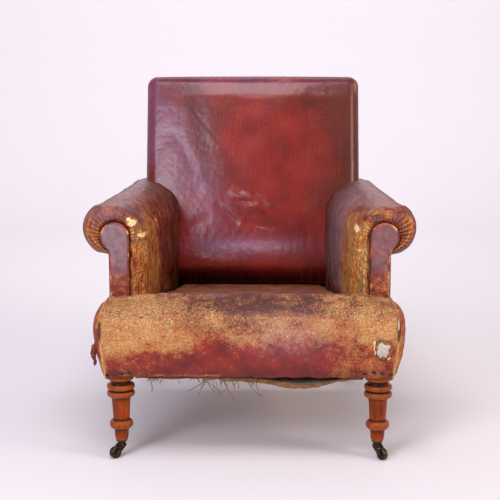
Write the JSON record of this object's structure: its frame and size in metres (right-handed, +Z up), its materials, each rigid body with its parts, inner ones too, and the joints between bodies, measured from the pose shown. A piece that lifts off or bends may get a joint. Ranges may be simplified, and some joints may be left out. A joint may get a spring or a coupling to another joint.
{
  "type": "worn club chair",
  "caption": "Low scroll-arm club chair in worn dark red leather, with a sprung seat, a reclined back, turned front legs, raked back legs and small swivelling castors.",
  "frame": {"origin": "on the floor, at the middle of the chair's width and depth", "axes": "+Z up, -Y towards a sitter's feet at the open front, +X to the right of someone facing the chair"},
  "size_m": [0.742, 0.8482, 0.8435],
  "materials": {
    "leather": "glazed dark red hide, cracked and rubbed along its edges",
    "worn_leather": "the same hide where sitting has worn it to ochre and tan, with dark cracks",
    "walnut": "french polished, warm amber brown",
    "beech": "bare sawn frame timber",
    "jute": "coarse woven webbing and hessian, frayed",
    "horsehair": "curled hair and wool flock stuffing",
    "spring_steel": "copper-washed wire, dulled",
    "castor_bronze": "dark, almost black tarnished castings"
  },
  "bodies": {
    "chair": {"castor_plate_front_left": "castor_bronze", "castor_plate_front_right": "castor_bronze", "castor_plate_back_left": "castor_bronze", "castor_plate_back_right": "castor_bronze", "front_leg_left": "walnut", "front_leg_right": "walnut", "back_leg_left": "walnut", "back_leg_right": "walnut", "front_rail": "beech", "back_rail": "beech", "lower_back_rail": "beech", "top_back_rail": "beech", "side_rail_left": "beech", "side_rail_right": "beech", "arm_post_left": "beech", "arm_post_right": "beech", "arm_rail_left": "beech", "arm_rail_right": "beech", "seat_webbing": "jute", "back_webbing": "jute", "seat_spring_front_left": "spring_steel", "seat_spring_front_centre": "spring_steel", "seat_spring_front_right": "spring_steel", "seat_spring_middle_left": "spring_steel", "seat_spring_middle_centre": "spring_steel", "seat_spring_middle_right": "spring_steel", "seat_spring_rear_left": "spring_steel", "seat_spring_rear_centre": "spring_steel", "seat_spring_rear_right": "spring_steel", "spring_hessian": "jute", "bottom_lining": "jute", "seat_stuffing": "horsehair", "back_stuffing": "horsehair", "arm_stuffing_left": "horsehair", "arm_stuffing_right": "horsehair", "seat_cover": "worn_leather", "inside_arm_cover_left": "worn_leather", "inside_arm_cover_right": "worn_leather", "seat_border_left": "leather", "seat_border_right": "leather", "inside_back_cover": "leather", "outside_back_panel": "leather", "outside_arm_panel_left": "leather", "outside_arm_panel_right": "leather", "arm_facing_left": "leather", "arm_facing_right": "leather"},
    "castor_front_left": {"castor_horn_front_left": "castor_bronze", "castor_axle_front_left": "castor_bronze"},
    "wheel_front_left": {"castor_wheel_front_left": "castor_bronze"},
    "castor_front_right": {"castor_horn_front_right": "castor_bronze", "castor_axle_front_right": "castor_bronze"},
    "wheel_front_right": {"castor_wheel_front_right": "castor_bronze"},
    "castor_back_left": {"castor_horn_back_left": "castor_bronze", "castor_axle_back_left": "castor_bronze"},
    "wheel_back_left": {"castor_wheel_back_left": "castor_bronze"},
    "castor_back_right": {"castor_horn_back_right": "castor_bronze", "castor_axle_back_right": "castor_bronze"},
    "wheel_back_right": {"castor_wheel_back_right": "castor_bronze"}
  },
  "joints": [
    {"name": "castor_swivel_front_left", "type": "hinge", "parent": "chair", "child": "castor_front_left", "pos_m": [-0.288, -0.3631, 0.03], "axis": [0, 0, 1], "continuous": true},
    {"name": "wheel_spin_front_left", "type": "hinge", "parent": "castor_front_left", "child": "wheel_front_left", "pos_m": [-0.30138, -0.37514, 0.013], "axis": [0.6691, -0.7431, 0], "continuous": true},
    {"name": "castor_swivel_front_right", "type": "hinge", "parent": "chair", "child": "castor_front_right", "pos_m": [0.288, -0.3631, 0.03], "axis": [0, 0, 1], "continuous": true},
    {"name": "wheel_spin_front_right", "type": "hinge", "parent": "castor_front_right", "child": "wheel_front_right", "pos_m": [0.29832, -0.37784, 0.013], "axis": [0.8192, 0.5736, 0], "continuous": true},
    {"name": "castor_swivel_back_left", "type": "hinge", "parent": "chair", "child": "castor_back_left", "pos_m": [-0.27, 0.2849, 0.03], "axis": [0, 0, 1], "continuous": true},
    {"name": "wheel_spin_back_left", "type": "hinge", "parent": "castor_back_left", "child": "wheel_back_left", "pos_m": [-0.26384, 0.30181, 0.013], "axis": [-0.9397, 0.342, 0], "continuous": true},
    {"name": "castor_swivel_back_right", "type": "hinge", "parent": "chair", "child": "castor_back_right", "pos_m": [0.27, 0.2849, 0.03], "axis": [0, 0, 1], "continuous": true},
    {"name": "wheel_spin_back_right", "type": "hinge", "parent": "castor_back_right", "child": "wheel_back_right", "pos_m": [0.26384, 0.30181, 0.013], "axis": [-0.9397, -0.342, 0], "continuous": true}
  ]
}
